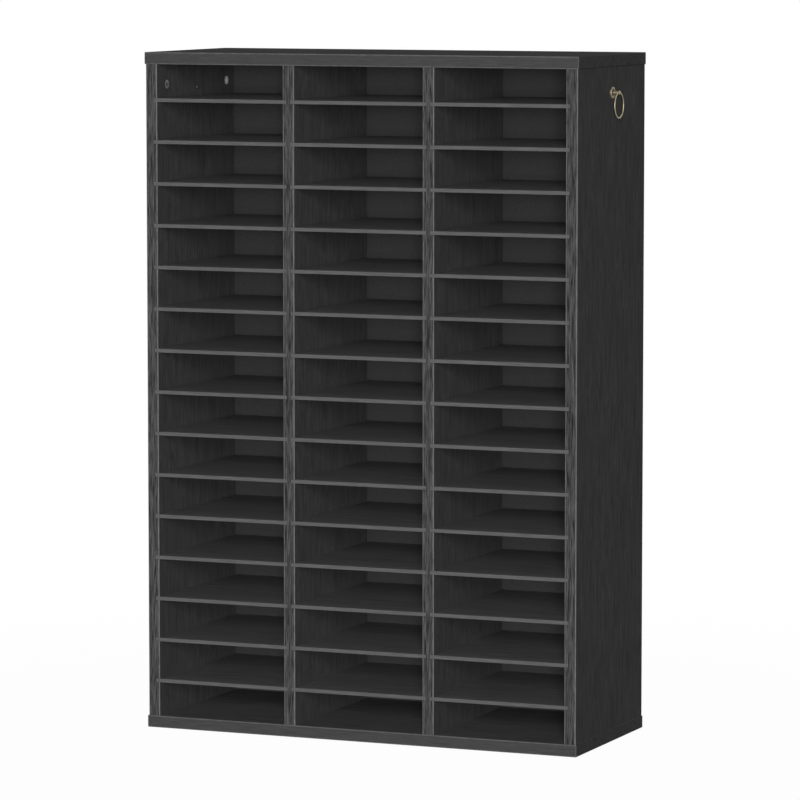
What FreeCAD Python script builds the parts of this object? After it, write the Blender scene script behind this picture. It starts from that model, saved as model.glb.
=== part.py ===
import FreeCAD, Part
import os

import Sketcher
from FreeCAD import Placement, Rotation, Vector

# A free-standing pigeonhole mail sorter: three columns of sixteen letter compartments in a
# carcass of grooved boards. X is the width, Y the depth with the open front at -Y, Z is up,
# and the origin is the middle of the footprint. The thin shelves run in grooves that are open
# at the front, so each one slides out. A ring pull hangs on the outside of each side panel.

SHELVES = 15                                # in each column, so sixteen compartments
COLUMNS = ("left", "middle", "right")

# ---------------------------------------------------------------- driving dimensions

SIZES = {
    # boards and compartments
    "board": 20,                            # sides, dividers, top and bottom
    "cell_width": 228.5,                    # 9 in between the uprights
    "cell_height": 63.5,                    # 2.5 in between two shelves
    "end_cell_height": 56.5,                # topmost and lowest compartments
    "cell_depth": 304.8,                    # 12 in, front edge to back panel
    "overhang": 1.75,                       # top and bottom past the front and both sides
    "arris": 0.9,                           # broken edge of the boards
    # shelves and their grooves
    "shelf_thickness": 6,
    "shelf_arris": 0.6,
    "groove_depth": 7,
    "shelf_side_play": 0.5,                 # each end to its groove's bottom
    "shelf_lift_play": 0.1,                 # above and below a shelf in its groove
    "shelf_back_play": 0.5,                 # shelf to back panel
    # back panel
    "back_thickness": 3.2,
    "back_lip": 5.8,                        # board left behind the back panel
    "back_groove_depth": 7,
    "back_play": 0.2,                       # each face and edge in its groove
    # cam fittings that hold the top panel to the sides
    "fitting_inset": 39.3,                  # fittings from the uprights' front and rear
    "cam_diameter": 15,
    "cam_depth": 12.5,
    "cam_setback": 34,                      # cam centre below the top panel
    "cam_play": 0.2,                        # round the cam
    "cam_recess": 0.2,                      # its face below the board's face
    "cam_plate": 3,                         # its face in front of its slot
    "bolt_diameter": 6,
    "bolt_play": 0.5,                       # round the bolt in its bore
    "bolt_thread_length": 11,
    "thread_play": 0.05,                    # round a thread in its bore
    "bolt_neck_diameter": 3.6,
    "bolt_neck_length": 8,
    "bolt_head_length": 3,
    "bolt_head_reach": 1,                   # head's end past the cam's centre
    "bolt_end_room": 2,                     # bore past the bolt's head
    # dowels
    "dowel_diameter": 8,
    "dowel_in_board": 12,
    "dowel_in_upright": 18,
    "dowel_play": 0.1,                      # round the dowel
    "dowel_end_room": 1,                    # bore past each end
    # screws up through the bottom panel
    "screw_shank_diameter": 6.4,
    "screw_head_diameter": 10,
    "screw_length": 50,
    "screw_play": 0.2,                      # round the shank and under the head
    "screw_sink": 0.3,                      # head below the bottom face
    "screw_end_room": 1,                    # bore past the screw's end
    # ring pulls
    "pull_drop": 62,                        # ring's axis below the top face
    "rosette_diameter": 19,
    "rosette_thickness": 3,
    "rosette_bevel": 2.3,                   # width of the rosette's sloped rim
    "post_diameter": 6.4,
    "post_waist_diameter": 4.6,
    "knob_diameter": 6.4,
    "knob_arris": 1.4,
    "ring_standoff": 12.5,                  # ring's plane off the side panel
    "ring_radius": 20.5,                    # to the wire's centre
    "ring_wire_diameter": 2.4,
    "ring_eye_play": 0.4,                   # round the wire in the post's eye
    "pull_screw_diameter": 3.5,
    "pull_screw_play": 0.25,                # round the shank in the board
    "pull_screw_reach": 5,                  # thread inside the post
    "pull_screw_room": 1,                   # bore past the screw's end
    "pull_head_diameter": 7,
    "pull_head_height": 2.2,
}

# What follows from the sizes, written with their names.
FOLLOWS = {
    "pitch": "cell_height + shelf_thickness",
    "upright_height": "2 * end_cell_height + %d * cell_height + %d * shelf_thickness"
                      % (SHELVES - 1, SHELVES),
    "height_over_all": "upright_height + 2 * board",
    "carcass_width": "3 * cell_width + 4 * board",
    "panel_width": "carcass_width + 2 * overhang",
    "side_depth": "cell_depth + back_thickness + back_play + back_lip",
    "panel_depth": "side_depth + overhang",
    "front_of_panels": "-panel_depth / 2",
    "front_of_uprights": "front_of_panels + overhang",
    "shelf_width": "cell_width + 2 * (groove_depth - shelf_side_play)",
    "shelf_depth": "cell_depth - shelf_back_play",
    "groove_height": "shelf_thickness + 2 * shelf_lift_play",
    "first_groove": "end_cell_height - shelf_lift_play",
    "back_groove_width": "back_thickness + 2 * back_play",
    "back_groove_front": "cell_depth - back_play",
    "back_width": "carcass_width - 2 * board + 2 * (back_groove_depth - back_play)",
    "back_height": "upright_height + 2 * (back_groove_depth - back_play)",
    "rear_fitting": "side_depth - fitting_inset",
    "middle_of_depth": "side_depth / 2",
    "cam_height": "upright_height - cam_setback",
    "pull_height": "upright_height + board - pull_drop",
    "bolt_bore": "bolt_diameter + 2 * bolt_play",
    "dowel_bore": "dowel_diameter + 2 * dowel_play",
    "screw_bore": "screw_shank_diameter + 2 * screw_play",
    "screw_head_height": "(screw_head_diameter - screw_shank_diameter) / 2",
    "wire_radius": "ring_wire_diameter / 2",
    "eye_diameter": "ring_wire_diameter + 2 * ring_eye_play",
    # the uprights' middles across the width, and where things stand along the depth
    "left_side_middle": "-carcass_width / 2 + board / 2",
    "left_divider_middle": "-cell_width / 2 - board / 2",
    "right_divider_middle": "cell_width / 2 + board / 2",
    "right_side_middle": "carcass_width / 2 - board / 2",
}

doc = FreeCAD.newDocument("pigeonhole_mail_sorter")
sheet = doc.addObject("Spreadsheet::Sheet", "Sizes")
for row, (alias, number) in enumerate(SIZES.items(), start=1):
    sheet.set("A%d" % row, alias)
    sheet.set("B%d" % row, str(number))
    sheet.setAlias("B%d" % row, alias)
doc.recompute()


def cell(expression):
    """Return an expression of the names above as one that reads the sheet's cells."""
    words, word = [], ""
    for character in expression + " ":
        if character.isalnum() or character == "_":
            word += character
            continue
        if word in FOLLOWS:
            word = "(" + cell(FOLLOWS[word]) + ")"
        elif word in SIZES:
            word = "Sizes." + word
        words.extend((word, character))
        word = ""
    return "".join(words).strip()


def value(expression):
    """Return what an expression of names and numbers comes to."""
    result = sheet.evalExpression(cell(expression))
    return float(getattr(result, "Value", result))


# ---------------------------------------------------------------- sketch and feature helpers


def origin_plane(body, role):
    """Return the body's own origin plane with this role."""
    return next(item for item in body.Origin.OriginFeatures if item.Role == role)


def new_body(name, x="0", y="0", z="0"):
    """Make a body named as its node and placed by three expressions."""
    body = doc.addObject("PartDesign::Body", name)
    body.Label = name
    for axis, expression in zip("xyz", (x, y, z)):
        body.setExpression("Placement.Base." + axis, cell(expression))
    return body


def sketch_on(body, role, name, offset="0"):
    """Attach a sketch to an origin plane of its body, shifted along the plane's normal."""
    sketch = body.newObject("Sketcher::SketchObject", name)
    sketch.AttachmentSupport = [(origin_plane(body, role), "")]
    sketch.MapMode = "FlatFace"
    if offset != "0":
        sketch.setExpression("AttachmentOffset.Base.z", cell(offset))
    return sketch


def dimension(sketch, kind, where, expression):
    """Add one driving dimension and bind it to the sheet."""
    index = sketch.addConstraint(Sketcher.Constraint(kind, *where, value(expression)))
    sketch.setExpression("Constraints[%d]" % index, cell(expression))


def place_point(sketch, element, vertex, x, y):
    """Hold a point at (x, y) from the sketch's origin; a zero puts it on the axis."""
    for expression, kind, axis in ((x, "DistanceX", -2), (y, "DistanceY", -1)):
        if expression == "0":
            sketch.addConstraint(Sketcher.Constraint("PointOnObject", element, vertex, axis))
        else:
            dimension(sketch, kind, (-1, 1, element, vertex), expression)


def closed_lines(sketch, corners):
    """Draw a closed run of lines through the corners and return the first line's number."""
    first = sketch.GeometryCount
    for start, end in zip(corners, corners[1:] + corners[:1]):
        sketch.addGeometry(Part.LineSegment(start, end), False)
    count = len(corners)
    for side in range(count):
        sketch.addConstraint(Sketcher.Constraint(
            "Coincident", first + side, 2, first + (side + 1) % count, 1))
    return first


def rectangle(sketch, x, y, width, height):
    """Draw a rectangle from its lower left corner, every size an expression."""
    x0, y0 = value(x), value(y)
    x1, y1 = x0 + value(width), y0 + value(height)
    first = closed_lines(sketch, [Vector(x0, y0, 0), Vector(x1, y0, 0), Vector(x1, y1, 0),
                                  Vector(x0, y1, 0)])
    for side, kind in enumerate(("Horizontal", "Vertical", "Horizontal", "Vertical")):
        sketch.addConstraint(Sketcher.Constraint(kind, first + side))
    dimension(sketch, "DistanceX", (first, 1, first, 2), width)
    dimension(sketch, "DistanceY", (first + 1, 1, first + 1, 2), height)
    place_point(sketch, first, 1, x, y)


def outline(sketch, points):
    """Draw a closed outline through points whose coordinates are expressions."""
    first = closed_lines(sketch, [Vector(value(x), value(y), 0) for x, y in points])
    for side, (x, y) in enumerate(points):
        place_point(sketch, first + side, 1, x, y)


def circle(sketch, x, y, diameter):
    """Draw a circle round (x, y), every size an expression."""
    index = sketch.addGeometry(
        Part.Circle(Vector(value(x), value(y), 0), Vector(0, 0, 1), value(diameter) / 2), False)
    dimension(sketch, "Diameter", (index,), diameter)
    place_point(sketch, index, 3, x, y)


def pad(body, sketch, name, length):
    """Pad a sketch along its normal."""
    feature = body.newObject("PartDesign::Pad", name)
    feature.Profile = sketch
    feature.setExpression("Length", cell(length))
    doc.recompute()
    return feature


def pocket(body, sketch, name, depth, against_normal=True):
    """Cut a sketch to a depth, and refuse a cut that points away from the solid."""
    before = body.Shape.Volume
    feature = body.newObject("PartDesign::Pocket", name)
    feature.Profile = sketch
    feature.Reversed = not against_normal
    feature.setExpression("Length", cell(depth))
    doc.recompute()
    if not body.Shape.Volume < before:
        raise RuntimeError("%s cut nothing" % name)
    return feature


def break_edges(body, base, name, wanted, expression):
    """Chamfer the edges of a box-shaped feature whose bounding box meets a condition."""
    feature = body.newObject("PartDesign::Chamfer", name)
    feature.Base = (base, ["Edge%d" % number
                           for number, edge in enumerate(base.Shape.Edges, start=1)
                           if wanted(edge.BoundBox)])
    feature.setExpression("Size", cell(expression))
    doc.recompute()
    return feature


def turned(name, role, points, axis):
    """Revolve a closed outline about a sketch axis into a turned piece."""
    body = new_body(name)
    sketch = sketch_on(body, role, name + "_outline")
    outline(sketch, points)
    feature = body.newObject("PartDesign::Revolution", name + "_turned")
    feature.Profile = sketch
    feature.ReferenceAxis = (sketch, [axis])
    feature.Angle = 360
    doc.recompute()
    return body


# ---------------------------------------------------------------- uprights

# An upright's own frame starts at the lower corner of its front edge on its left face. Each
# face is the offset of its plane along X, and whether a cut there runs against X.
FACES = {"left": ("0", False), "right": ("board", True)}
ENDS = {"top": ("upright_height", True), "bottom": ("0", False)}


def cut_shelf_grooves(body, face):
    """Cut the lowest shelf groove in one face of an upright and repeat it up the board."""
    plane, against_normal = FACES[face]
    sketch = sketch_on(body, "YZ_Plane", "groove_profile_" + face, plane)
    rectangle(sketch, "0", "first_groove", "cell_depth", "groove_height")
    groove = pocket(body, sketch, "groove_" + face, "groove_depth", against_normal)
    pattern = body.newObject("PartDesign::LinearPattern", "grooves_" + face)
    pattern.Originals = [groove]
    pattern.Direction = (sketch, ["V_Axis"])
    pattern.setExpression("Length", cell("pitch * %d" % (SHELVES - 1)))
    pattern.Occurrences = SHELVES
    body.Tip = pattern
    doc.recompute()


def bore_end(body, end, name, insets, diameter, depth):
    """Bore one end of an upright along its middle."""
    plane, against_normal = ENDS[end]
    sketch = sketch_on(body, "XY_Plane", name + "_places", plane)
    for inset in insets:
        circle(sketch, "board / 2", inset, diameter)
    pocket(body, sketch, name, depth, against_normal)


def upright(name, middle, depth, grooved):
    """Make the board of an upright with its broken front edges, shelf grooves and screw bores."""
    body = new_body(name, middle + " - board / 2", "front_of_uprights", "board")
    profile = sketch_on(body, "YZ_Plane", "board_profile")
    rectangle(profile, "0", "0", depth, "upright_height")
    board = pad(body, profile, "board_pad", "board")
    thickness = value("board")
    break_edges(body, board, "front_arrises",
                lambda box: box.YMax < thickness < box.ZLength, "arris")
    for face in grooved:
        cut_shelf_grooves(body, face)
    bore_end(body, "bottom", "screw_bores", ("fitting_inset", "rear_fitting"), "screw_bore",
             "screw_sink + screw_length + screw_end_room - board")
    return body


def side_panel(name, middle, inside):
    """Make a side panel: an upright with cam seats, a back groove and the pull's screw hole."""
    plane, against_normal = FACES[inside]
    body = upright(name, middle, "side_depth", [inside])
    sketch = sketch_on(body, "YZ_Plane", "back_groove_profile", plane)
    rectangle(sketch, "back_groove_front", "0", "back_groove_width", "upright_height")
    pocket(body, sketch, "back_groove", "back_groove_depth", against_normal)
    sketch = sketch_on(body, "YZ_Plane", "cam_seat_places", plane)
    for inset in ("fitting_inset", "rear_fitting"):
        circle(sketch, inset, "cam_height", "cam_diameter")
    pocket(body, sketch, "cam_seats", "cam_depth", against_normal)
    bore_end(body, "top", "bolt_bores", ("fitting_inset", "rear_fitting"), "bolt_bore",
             "cam_setback + bolt_head_reach + bolt_end_room")
    sketch = sketch_on(body, "YZ_Plane", "pull_screw_place", "board")
    circle(sketch, "middle_of_depth", "pull_height", "pull_screw_diameter + 2 * pull_screw_play")
    pocket(body, sketch, "pull_screw_hole", "board")
    return body


def divider(name, middle):
    """Make a divider: an upright grooved on both faces and doweled to the top panel."""
    body = upright(name, middle, "cell_depth", ["left", "right"])
    bore_end(body, "top", "dowel_bores", ("fitting_inset", "rear_fitting"), "dowel_bore",
             "dowel_in_upright + dowel_end_room")
    return body


side_panel("left_side_panel", "left_side_middle", "right")
divider("left_divider", "left_divider_middle")
divider("right_divider", "right_divider_middle")
side_panel("right_side_panel", "right_side_middle", "left")

# Where the fittings stand, across the width and back from the uprights' front edges.
UPRIGHTS = ("left_side_middle", "left_divider_middle", "right_divider_middle",
            "right_side_middle")
ENDS_OF_DEPTH = ("fitting_inset", "rear_fitting")
SCREW_SPOTS = [(middle, inset) for middle in UPRIGHTS for inset in ENDS_OF_DEPTH]
BOLT_SPOTS = [(middle, inset) for middle in (UPRIGHTS[0], UPRIGHTS[3]) for inset in ENDS_OF_DEPTH]
DOWEL_SPOTS = [(middle, inset) for middle in UPRIGHTS[1:3] for inset in ENDS_OF_DEPTH]

# ---------------------------------------------------------------- top and bottom panels


def bore_panel(body, name, plane, spots, diameter, depth, against_normal):
    """Bore the top or bottom panel at spots given from the carcass's middle and front."""
    sketch = sketch_on(body, "XY_Plane", name + "_places", plane)
    for middle, inset in spots:
        circle(sketch, "panel_width / 2 + " + middle, "overhang + " + inset, diameter)
    pocket(body, sketch, name, depth, against_normal)


def end_panel(name, z, inner_face, inward):
    """Make the top or bottom panel with its broken edges and its groove for the back panel."""
    body = new_body(name, "-panel_width / 2", "front_of_panels", z)
    profile = sketch_on(body, "XY_Plane", "board_profile")
    rectangle(profile, "0", "0", "panel_width", "panel_depth")
    board = pad(body, profile, "board_pad", "board")
    rear = value("panel_depth") / 2
    break_edges(body, board, "arrises", lambda box: box.YMin < rear, "arris")
    groove = sketch_on(body, "XY_Plane", "back_groove_profile", inner_face)
    rectangle(groove, "overhang + board - back_groove_depth", "overhang + back_groove_front",
              "carcass_width - 2 * board + 2 * back_groove_depth", "back_groove_width")
    pocket(body, groove, "back_groove", "back_groove_depth", inward)
    return body


top = end_panel("top_panel", "board + upright_height", "0", False)
bore_panel(top, "bolt_bores", "0", BOLT_SPOTS, "bolt_diameter + 2 * thread_play",
           "bolt_thread_length", False)
bore_panel(top, "dowel_bores", "0", DOWEL_SPOTS, "dowel_bore", "dowel_in_board + dowel_end_room",
           False)

bottom = end_panel("bottom_panel", "0", "board", True)
bore_panel(bottom, "screw_holes", "0", SCREW_SPOTS, "screw_bore", "board", False)
holes = bottom.Tip
rims = value("screw_bore")
break_edges(bottom, holes, "screw_head_seats",
            lambda box: box.ZMax < rims / 2 and 0.9 * rims < box.XLength < 1.1 * rims,
            "screw_sink + screw_head_height")

# ---------------------------------------------------------------- back panel and shelves

back = new_body("back_panel", "-back_width / 2", "front_of_uprights + cell_depth",
                "board - back_groove_depth + back_play")
sketch = sketch_on(back, "XY_Plane", "sheet_profile")
rectangle(sketch, "0", "0", "back_width", "back_thickness")
pad(back, sketch, "sheet", "back_height")


def shelf(column, number):
    """Make one thin shelf, broken all round its front edge, its ends lying in the grooves."""
    body = new_body("shelf_%s_%02d" % (COLUMNS[column], number),
                    "%d * (cell_width + board) - shelf_width / 2" % (column - 1),
                    "front_of_uprights",
                    "board + end_cell_height + %d * pitch" % (number - 1))
    profile = sketch_on(body, "XY_Plane", "shelf_profile")
    rectangle(profile, "0", "0", "shelf_width", "shelf_depth")
    board = pad(body, profile, "shelf_pad", "shelf_thickness")
    thickness = value("shelf_thickness")
    break_edges(body, board, "front_arrises", lambda box: box.YMax < thickness, "shelf_arris")


for column in range(len(COLUMNS)):
    for number in range(1, SHELVES + 1):
        shelf(column, number)

# ---------------------------------------------------------------- fittings


def group(name, master, places):
    """Gather copies of one fitting into one node; places are (x, y, z, half turned)."""
    links = []
    for number, (x, y, z, half_turned) in enumerate(places, start=1):
        link = doc.addObject("App::Link", "%s_%d" % (name, number))
        link.LinkedObject = master
        link.LinkTransform = False
        link.Placement = Placement(Vector(), Rotation(Vector(0, 0, 1), 180 if half_turned else 0))
        for axis, expression in zip("xyz", (x, y, z)):
            link.setExpression("Placement.Base." + axis, cell(expression))
        links.append(link)
    node = doc.addObject("Part::Compound", name)
    node.Label = name
    node.Links = links
    doc.recompute()
    return node


# Cam lock: a disc with a slot in its rim that takes the bolt's head. Its axis is X, its face
# looks to +X and its origin is on the axis in the board's face.
cam = new_body("cam_lock")
sketch = sketch_on(cam, "YZ_Plane", "disc_profile", "-(cam_depth - cam_recess)")
circle(sketch, "0", "0", "cam_diameter - 2 * cam_play")
pad(cam, sketch, "disc", "cam_depth - 2 * cam_recess")
sketch = sketch_on(cam, "YZ_Plane", "bolt_slot_profile", "-(cam_depth - cam_recess)")
SLOT_FOOT = "-(bolt_head_reach + bolt_end_room)"
outline(sketch, [("-bolt_bore / 2", SLOT_FOOT), ("bolt_bore / 2", SLOT_FOOT),
                 ("bolt_bore / 2", "cam_diameter"), ("-bolt_bore / 2", "cam_diameter")])
pocket(cam, sketch, "bolt_slot", "cam_depth - cam_recess - cam_plate", False)

# Cam bolt: threaded into the top panel, its waisted end hooked by the cam. It points down.
BOLT_END = "-(cam_setback + bolt_head_reach)"
HEAD_TOP = BOLT_END + " + bolt_head_length"
NECK_TOP = HEAD_TOP + " + bolt_neck_length"
bolt = turned("cam_bolt", "XZ_Plane", [
    ("0", BOLT_END), ("bolt_diameter / 2", BOLT_END), ("bolt_diameter / 2", HEAD_TOP),
    ("bolt_neck_diameter / 2", HEAD_TOP), ("bolt_neck_diameter / 2", NECK_TOP),
    ("bolt_diameter / 2", NECK_TOP), ("bolt_diameter / 2", "bolt_thread_length - thread_play"),
    ("0", "bolt_thread_length - thread_play")], "V_Axis")

# Dowel: planed to twelve flats that let the glue past. Its longer part stands in the upright
# below the joint.
dowel = new_body("dowel")
sketch = sketch_on(dowel, "XY_Plane", "dowel_section", "-dowel_in_upright")
outline(sketch, [("dowel_diameter / 2 * cos(%d)" % angle, "dowel_diameter / 2 * sin(%d)" % angle)
                 for angle in range(15, 375, 30)])
pad(dowel, sketch, "dowel_length", "dowel_in_upright + dowel_in_board")

# Base screw: countersunk, driven up from under the bottom panel, its head just inside the face.
SCREW_END = "screw_sink + screw_length"
screw = turned("base_screw", "XZ_Plane", [
    ("0", "screw_sink"), ("screw_head_diameter / 2", "screw_sink"),
    ("screw_shank_diameter / 2", "screw_sink + screw_head_height"),
    ("screw_shank_diameter / 2", SCREW_END), ("0", SCREW_END)], "V_Axis")

# Base of a ring pull: a bevelled rosette, a waisted post and a knob with the ring's eye. It is
# turned about X and points to +X from the side panel's outer face.
KNOB_START = "ring_standoff - knob_diameter / 2"
KNOB_END = "ring_standoff + knob_diameter / 2"
RIM = "rosette_diameter / 2 - rosette_bevel"
post = turned("pull_post", "XY_Plane", [
    ("0", "0"), (KNOB_END, "0"), (KNOB_END, "knob_diameter / 2 - knob_arris"),
    (KNOB_END + " - knob_arris", "knob_diameter / 2"),
    (KNOB_START + " + knob_arris", "knob_diameter / 2"),
    (KNOB_START, "post_waist_diameter / 2"), ("rosette_thickness", "post_diameter / 2"),
    ("rosette_thickness", RIM), ("rosette_thickness / 2", "rosette_diameter / 2"),
    ("0", "rosette_diameter / 2")], "H_Axis")
sketch = sketch_on(post, "XZ_Plane", "eye_place")
circle(sketch, "ring_standoff", "0", "eye_diameter")
eye = post.newObject("PartDesign::Pocket", "eye")
eye.Profile = sketch
eye.Midplane = True
eye.setExpression("Length", cell("2 * knob_diameter"))
doc.recompute()
sketch = sketch_on(post, "YZ_Plane", "thread_place")
circle(sketch, "0", "0", "pull_screw_diameter + 2 * thread_play")
pocket(post, sketch, "thread_bore", "pull_screw_reach + pull_screw_room", False)

# Pull screw: through the side panel from the compartment, its pan head inside.
HEAD_FACE = "-board - pull_head_height"
pull_screw = turned("pull_screw", "XY_Plane", [
    (HEAD_FACE, "0"), ("pull_screw_reach", "0"), ("pull_screw_reach", "pull_screw_diameter / 2"),
    ("-board", "pull_screw_diameter / 2"), ("-board", "pull_head_diameter / 2"),
    (HEAD_FACE, "pull_head_diameter / 2")], "H_Axis")

CAM_FACES = (("left_side_middle + board / 2", False), ("right_side_middle - board / 2", True))
group("cam_locks", cam, [(x, "front_of_uprights + " + y, "board + cam_height", half_turned)
                         for x, half_turned in CAM_FACES for y in ENDS_OF_DEPTH])
group("cam_bolts", bolt, [(x, "front_of_uprights + " + y, "board + upright_height", False)
                          for x, y in BOLT_SPOTS])
group("dowels", dowel, [(x, "front_of_uprights + " + y, "board + upright_height", False)
                        for x, y in DOWEL_SPOTS])
group("base_screws", screw, [(x, "front_of_uprights + " + y, "0", False)
                             for x, y in SCREW_SPOTS])
OUTSIDES = (("-carcass_width / 2", True), ("carcass_width / 2", False))
PULL_PLACES = [(x, "front_of_uprights + middle_of_depth", "board + pull_height", half_turned)
               for x, half_turned in OUTSIDES]
group("pull_posts", post, PULL_PLACES)
group("pull_screws", pull_screw, PULL_PLACES)

# Rings: a six-sided wire bent to a circle, hanging in the eye from its topmost point. The hinge
# axis runs along Y through the eye.
WIRE_SIDES = [("wire_radius * cos(%d)" % angle, "ring_radius + wire_radius * sin(%d)" % angle)
              for angle in range(0, 360, 60)]
for name, x in (("left_ring", "-carcass_width / 2 - ring_standoff"),
                ("right_ring", "carcass_width / 2 + ring_standoff")):
    ring = turned(name, "XZ_Plane", WIRE_SIDES, "H_Axis")
    for axis, expression in (("x", x), ("y", "front_of_uprights + middle_of_depth"),
                             ("z", "board + pull_height - ring_radius")):
        ring.setExpression("Placement.Base." + axis, cell(expression))
doc.recompute()

# ---------------------------------------------------------------- check and write

MASTERS = {cam.Name, bolt.Name, dowel.Name, screw.Name, post.Name, pull_screw.Name}
nodes = [item for item in doc.Objects
         if item.TypeId in ("PartDesign::Body", "Part::Compound") and item.Name not in MASTERS]
for item in doc.Objects:
    if "Invalid" in item.State or "Error" in item.State:
        raise RuntimeError("%s failed: %s" % (item.Name, item.State))
for node in nodes:
    if node.Shape.isNull() or not node.Shape.isValid():
        raise RuntimeError("%s has no valid shape" % node.Label)
os.makedirs("parts", exist_ok=True)
for node in nodes:
    node.Shape.exportStep(os.path.join("parts", node.Label + ".step"))
print("%d nodes, %d solids" % (len(nodes), sum(len(node.Shape.Solids) for node in nodes)))
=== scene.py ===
"""Finishes, fittings, studio and camera of a free-standing pigeonhole mail sorter."""
import logging
import math
from dataclasses import dataclass, field, replace
from enum import Enum
from typing import Any, Callable, Mapping, Sequence

import bmesh
import bpy
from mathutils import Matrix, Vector


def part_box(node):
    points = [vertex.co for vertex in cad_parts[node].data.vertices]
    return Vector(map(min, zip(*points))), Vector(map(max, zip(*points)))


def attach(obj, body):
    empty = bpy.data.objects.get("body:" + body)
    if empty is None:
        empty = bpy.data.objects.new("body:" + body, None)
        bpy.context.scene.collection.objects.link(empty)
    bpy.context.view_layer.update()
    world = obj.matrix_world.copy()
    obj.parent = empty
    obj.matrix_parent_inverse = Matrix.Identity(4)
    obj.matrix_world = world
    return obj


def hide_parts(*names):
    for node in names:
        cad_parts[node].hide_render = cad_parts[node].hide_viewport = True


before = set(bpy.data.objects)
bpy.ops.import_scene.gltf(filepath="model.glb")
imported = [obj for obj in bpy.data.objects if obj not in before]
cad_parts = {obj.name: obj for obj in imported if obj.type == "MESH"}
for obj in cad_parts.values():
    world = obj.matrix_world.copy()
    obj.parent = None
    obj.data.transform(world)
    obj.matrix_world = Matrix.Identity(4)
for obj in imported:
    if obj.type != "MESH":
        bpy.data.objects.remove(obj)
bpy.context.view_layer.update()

Colour = tuple[float, float, float, float]
Material = bpy.types.Material
Piece = bpy.types.Object
Place = tuple[float, float, float]
Socket = bpy.types.NodeSocket
Span = tuple[float, float]
Tree = bpy.types.NodeTree

LOG = logging.getLogger("mail_sorter")
MM = 0.001
QUARTER = math.radians(90.0)
ORIGIN = (0.0, 0.0, 0.0)
UNIT = (0.0, 1.0)
WHITE = (1.0, 1.0, 1.0, 1.0)


class Grain(Enum):
    """Direction in which a board's printed grain runs, as a turn that brings it onto Z."""

    UPRIGHT = (0.0, 0.0, 0.0)
    CROSSWISE = (0.0, QUARTER, 0.0)


class Column(Enum):
    """A column of compartments."""

    LEFT = "left"
    MIDDLE = "middle"
    RIGHT = "right"


class Side(Enum):
    """A side of the sorter, with the sign of its X."""

    LEFT = -1
    RIGHT = 1


class TreeKind(Enum):
    """A kind of node group: its type, and what its outputs carry."""

    SHADER = ("ShaderNodeTree", "NodeSocketFloat")
    GEOMETRY = ("GeometryNodeTree", "NodeSocketGeometry")


class SocketKind(Enum):
    """What a group's input carries."""

    NUMBER = "NodeSocketFloat"
    COUNT = "NodeSocketInt"
    VECTOR = "NodeSocketVector"
    GEOMETRY = "NodeSocketGeometry"
    MATERIAL = "NodeSocketMaterial"


def grey(value: float) -> Colour:
    """Return an even grey."""
    return (value, value, value, 1.0)


def named_inputs(sizes: Any) -> dict[str, float]:
    """Return a dataclass's fields by the names of the node inputs that they fill."""
    return {key.replace("_", " ").title(): value for key, value in vars(sizes).items()}


def shown(name: str, data: bpy.types.ID) -> Piece:
    """Put new data in the scene as an object and return the object."""
    made = bpy.data.objects.new(name, data)
    bpy.context.scene.collection.objects.link(made)
    return made


# ---- node trees


class Bench:
    """Places nodes in one node tree and joins them."""

    def __init__(self, tree: Tree) -> None:
        """Work in this tree."""
        self.tree = tree

    def add(self, kind: str, inputs: Mapping[Any, Any] | None = None,
            **settings: Any) -> bpy.types.Node:
        """Place a node, set it up and join or set its inputs.

        Args:
            kind: The node's type.
            inputs: A socket or a value for each input, by name or number.
            **settings: The node's own properties.

        Returns:
            The new node.
        """
        node = self.tree.nodes.new(kind)
        for name, setting in settings.items():
            setattr(node, name, setting)
        for key, given in (inputs or {}).items():
            if isinstance(given, Socket):
                self.tree.links.new(given, node.inputs[key])
            else:
                node.inputs[key].default_value = given
        return node

    def out(self, kind: str, inputs: Mapping[Any, Any] | None = None, **settings: Any) -> Socket:
        """Place a node as add does and return its first output."""
        return self.add(kind, inputs, **settings).outputs[0]

    def sum(self, operation: str, first: Any, second: Any = 0.0) -> Socket:
        """Work out one operation on two values and return its result."""
        return self.out("ShaderNodeMath", {0: first, 1: second}, operation=operation)

    def vectors(self, operation: str, *given: Any) -> Any:
        """Work out one operation on vectors and return the node's outputs."""
        return self.add("ShaderNodeVectorMath", dict(enumerate(given)),
                        operation=operation).outputs

    def spread(self, value: Any, span: tuple[Any, Any], over: Span = UNIT) -> Socket:
        """Stretch the values of one span over another and return the result."""
        return self.add("ShaderNodeMapRange", {
            "Value": value, "From Min": span[0], "From Max": span[1], "To Min": over[0],
            "To Max": over[1]}).outputs["Result"]

    def blend(self, factor: Any, first: Any, second: Any) -> Socket:
        """Mix two colours and return the result."""
        node = self.add("ShaderNodeMix", {0: factor, 6: first, 7: second}, data_type="RGBA")
        return node.outputs[2]

    def noise(self, place: Socket, scale: Any, detail: float, roughness: float = 0.5) -> Any:
        """Place a noise and return its outputs."""
        return self.add("ShaderNodeTexNoise", {
            "Vector": place, "Scale": scale, "Detail": detail, "Roughness": roughness}).outputs

    def vector(self, x: Any = 0.0, y: Any = 0.0, z: Any = 0.0) -> Socket:
        """Join three values to a vector and return it."""
        return self.out("ShaderNodeCombineXYZ", {0: x, 1: y, 2: z})

    def parts(self, vector: Socket) -> Any:
        """Return a vector's X, Y and Z."""
        return self.add("ShaderNodeSeparateXYZ", {0: vector}).outputs

    def join(self, *parts: Socket) -> Socket:
        """Join pieces of geometry and return the whole."""
        joined = self.add("GeometryNodeJoinGeometry")
        for part in parts:
            self.tree.links.new(part, joined.inputs[0])
        return joined.outputs[0]

    def give(self, outputs: Mapping[str, Socket]) -> Tree:
        """Join the group's outputs and return the group."""
        self.add("NodeGroupOutput", outputs)
        return self.tree


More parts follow.
